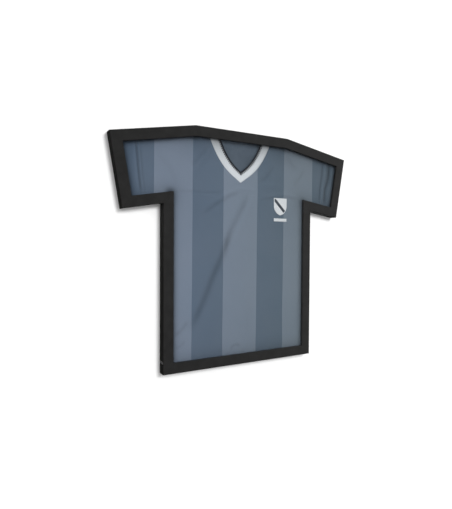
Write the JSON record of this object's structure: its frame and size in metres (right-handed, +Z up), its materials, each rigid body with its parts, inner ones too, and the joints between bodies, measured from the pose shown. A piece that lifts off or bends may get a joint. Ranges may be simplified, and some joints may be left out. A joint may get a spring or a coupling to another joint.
{
  "type": "jersey display frame",
  "caption": "Wall-hung display frame in the outline of a T-shirt, with clear glazing over a striped V-neck jersey and a backing panel held by turn buttons.",
  "frame": {"origin": "in the plane of the wall, midway between the two sawtooth hangers, on the line that they hang from", "axes": "+X to the right as seen from the front, +Y into the wall, so that the glazed front faces -Y, and +Z up"},
  "size_m": [0.7366, 0.0254, 0.635],
  "materials": {
    "black_lacquer": "satin",
    "clear_acrylic": "gloss",
    "jersey_knit": "matte",
    "collar_white": "matte",
    "collar_trim": "matte",
    "badge_thread": "satin",
    "form_board": "matte",
    "hardboard": "matte",
    "zinc_steel": "satin",
    "nail_steel": "satin",
    "screw_steel": "gloss",
    "hanger_brass": "satin",
    "plate_aluminium": "satin"
  },
  "bodies": {
    "frame": {"left_shoulder_rail": "black_lacquer", "top_rail": "black_lacquer", "right_shoulder_rail": "black_lacquer", "right_cuff_rail": "black_lacquer", "right_underarm_rail": "black_lacquer", "right_side_rail": "black_lacquer", "bottom_rail": "black_lacquer", "left_side_rail": "black_lacquer", "left_underarm_rail": "black_lacquer", "left_cuff_rail": "black_lacquer", "corner_v_nails": "nail_steel", "glazing": "clear_acrylic", "jersey_body": "jersey_knit", "jersey_collar": "collar_white", "jersey_collar_trim": "collar_trim", "jersey_badge": "badge_thread", "shirt_form": "form_board", "backing_panel": "hardboard", "pivot_screws": "screw_steel", "left_hanger": "hanger_brass", "right_hanger": "hanger_brass", "hanger_screws": "screw_steel", "nameplate": "plate_aluminium"},
    "turn_button_top_left": {"turn_button_top_left": "zinc_steel"},
    "turn_button_top_right": {"turn_button_top_right": "zinc_steel"},
    "turn_button_left_shoulder": {"turn_button_left_shoulder": "zinc_steel"},
    "turn_button_right_shoulder": {"turn_button_right_shoulder": "zinc_steel"},
    "turn_button_left_cuff": {"turn_button_left_cuff": "zinc_steel"},
    "turn_button_right_cuff": {"turn_button_right_cuff": "zinc_steel"},
    "turn_button_left_side_upper": {"turn_button_left_side_upper": "zinc_steel"},
    "turn_button_right_side_upper": {"turn_button_right_side_upper": "zinc_steel"},
    "turn_button_left_side_lower": {"turn_button_left_side_lower": "zinc_steel"},
    "turn_button_right_side_lower": {"turn_button_right_side_lower": "zinc_steel"},
    "turn_button_bottom_left": {"turn_button_bottom_left": "zinc_steel"},
    "turn_button_bottom_right": {"turn_button_bottom_right": "zinc_steel"}
  },
  "joints": [
    {"name": "top_left_turn", "type": "hinge", "parent": "frame", "child": "turn_button_top_left", "pos_m": [-0.04088, -0.0051, 0.0035], "axis": [0, 1, 0], "range_deg": [-94, 94]},
    {"name": "top_right_turn", "type": "hinge", "parent": "frame", "child": "turn_button_top_right", "pos_m": [0.04088, -0.0051, 0.0035], "axis": [0, 1, 0], "range_deg": [-94, 94]},
    {"name": "left_shoulder_turn", "type": "hinge", "parent": "frame", "child": "turn_button_left_shoulder", "pos_m": [-0.26568, -0.0051, -0.01843], "axis": [0, 1, 0], "range_deg": [-94, 94]},
    {"name": "right_shoulder_turn", "type": "hinge", "parent": "frame", "child": "turn_button_right_shoulder", "pos_m": [0.26568, -0.0051, -0.01843], "axis": [0, 1, 0], "range_deg": [-94, 94]},
    {"name": "left_cuff_turn", "type": "hinge", "parent": "frame", "child": "turn_button_left_cuff", "pos_m": [-0.3386, -0.0051, -0.11047], "axis": [0, 1, 0], "range_deg": [-94, 94]},
    {"name": "right_cuff_turn", "type": "hinge", "parent": "frame", "child": "turn_button_right_cuff", "pos_m": [0.3386, -0.0051, -0.11047], "axis": [0, 1, 0], "range_deg": [-94, 94]},
    {"name": "left_side_upper_turn", "type": "hinge", "parent": "frame", "child": "turn_button_left_side_upper", "pos_m": [-0.2195, -0.0051, -0.29413], "axis": [0, 1, 0], "range_deg": [-94, 94]},
    {"name": "right_side_upper_turn", "type": "hinge", "parent": "frame", "child": "turn_button_right_side_upper", "pos_m": [0.2195, -0.0051, -0.29413], "axis": [0, 1, 0], "range_deg": [-94, 94]},
    {"name": "left_side_lower_turn", "type": "hinge", "parent": "frame", "child": "turn_button_left_side_lower", "pos_m": [-0.2195, -0.0051, -0.49646], "axis": [0, 1, 0], "range_deg": [-94, 94]},
    {"name": "right_side_lower_turn", "type": "hinge", "parent": "frame", "child": "turn_button_right_side_lower", "pos_m": [0.2195, -0.0051, -0.49646], "axis": [0, 1, 0], "range_deg": [-94, 94]},
    {"name": "bottom_left_turn", "type": "hinge", "parent": "frame", "child": "turn_button_bottom_left", "pos_m": [-0.11232, -0.0051, -0.6025], "axis": [0, 1, 0], "range_deg": [-94, 94]},
    {"name": "bottom_right_turn", "type": "hinge", "parent": "frame", "child": "turn_button_bottom_right", "pos_m": [0.11232, -0.0051, -0.6025], "axis": [0, 1, 0], "range_deg": [-94, 94]}
  ]
}
